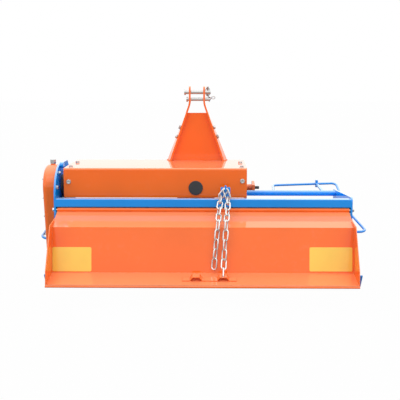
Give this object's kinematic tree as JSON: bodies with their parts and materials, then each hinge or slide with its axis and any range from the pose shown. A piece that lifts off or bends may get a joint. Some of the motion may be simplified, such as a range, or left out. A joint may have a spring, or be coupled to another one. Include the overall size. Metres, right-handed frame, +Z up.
{
  "type": "tractor rotavator",
  "caption": "Tractor-mounted rotavator with a tined rotor under a deck, a side chain drive, a three-point mast, guard rods and a hinged rear tailgate held by a chain.",
  "frame": {"origin": "on the ground under the middle of the rotor's axis, which is also the middle of the overall box", "axes": "+X to the machine's right seen from behind, along the rotor; +Y forward to the tractor; +Z up"},
  "size_m": [1.5131, 1.028, 0.898],
  "materials": {
    "orange_paint": "glossy powder coat",
    "blue_paint": "glossy powder coat",
    "zinc_steel": "zinc plated",
    "black_paint": "satin black paint",
    "black_plastic": "moulded plastic",
    "gearbox_paint": "satin paint over a casting"
  },
  "bodies": {
    "frame": {"side_plate_right": "blue_paint", "side_plate_left": "blue_paint", "rear_beam": "blue_paint", "front_tube": "blue_paint", "rotor_deck": "blue_paint", "box_beam": "orange_paint", "box_bracket_left": "blue_paint", "box_bracket_right": "blue_paint", "inspection_plug": "black_plastic", "gearbox": "gearbox_paint", "drive_tube": "gearbox_paint", "pto_guard": "black_plastic", "chain_case": "orange_paint", "chain_cover": "orange_paint", "filler_plug": "zinc_steel", "filler_neck": "orange_paint", "mast_strap_left": "orange_paint", "mast_strap_right": "orange_paint", "mast_sheet": "orange_paint", "top_link_pin": "zinc_steel", "mast_lower_pin": "zinc_steel", "lower_hitch_left": "orange_paint", "lower_hitch_right": "orange_paint", "lower_link_pin_left": "black_paint", "lower_link_pin_right": "black_paint", "guard_rod_left": "blue_paint", "guard_rod_right": "blue_paint", "guard_arm_left": "blue_paint", "guard_arm_right": "blue_paint", "skid_left": "blue_paint", "skid_right": "blue_paint", "bearing_housing": "orange_paint", "hinge_rod": "zinc_steel", "chain_bracket": "blue_paint", "lift_chain": "zinc_steel"},
    "rotor": {"rotor_tube": "blue_paint", "tines_left": "black_paint", "tines_right": "black_paint"},
    "pto": {"pto_shaft": "zinc_steel"},
    "gate": {"tailgate": "orange_paint", "gate_chain_strip": "orange_paint"}
  },
  "joints": [
    {"name": "rotor_spin", "type": "hinge", "parent": "frame", "child": "rotor", "pos_m": [0, 0, 0.18], "axis": [1, 0, 0], "continuous": true},
    {"name": "pto_spin", "type": "hinge", "parent": "frame", "child": "pto", "pos_m": [-0.033, 0.2, 0.447], "axis": [0, 1, 0], "continuous": true},
    {"name": "tailgate_hinge", "type": "hinge", "parent": "frame", "child": "gate", "pos_m": [0, -0.204, 0.362], "axis": [-1, 0, 0], "range_deg": [0, 60], "deforming": ["lift_chain"]}
  ],
  "couplings": [
    {"joint": "pto_spin", "follows": "rotor_spin", "ratio": -2.35}
  ]
}
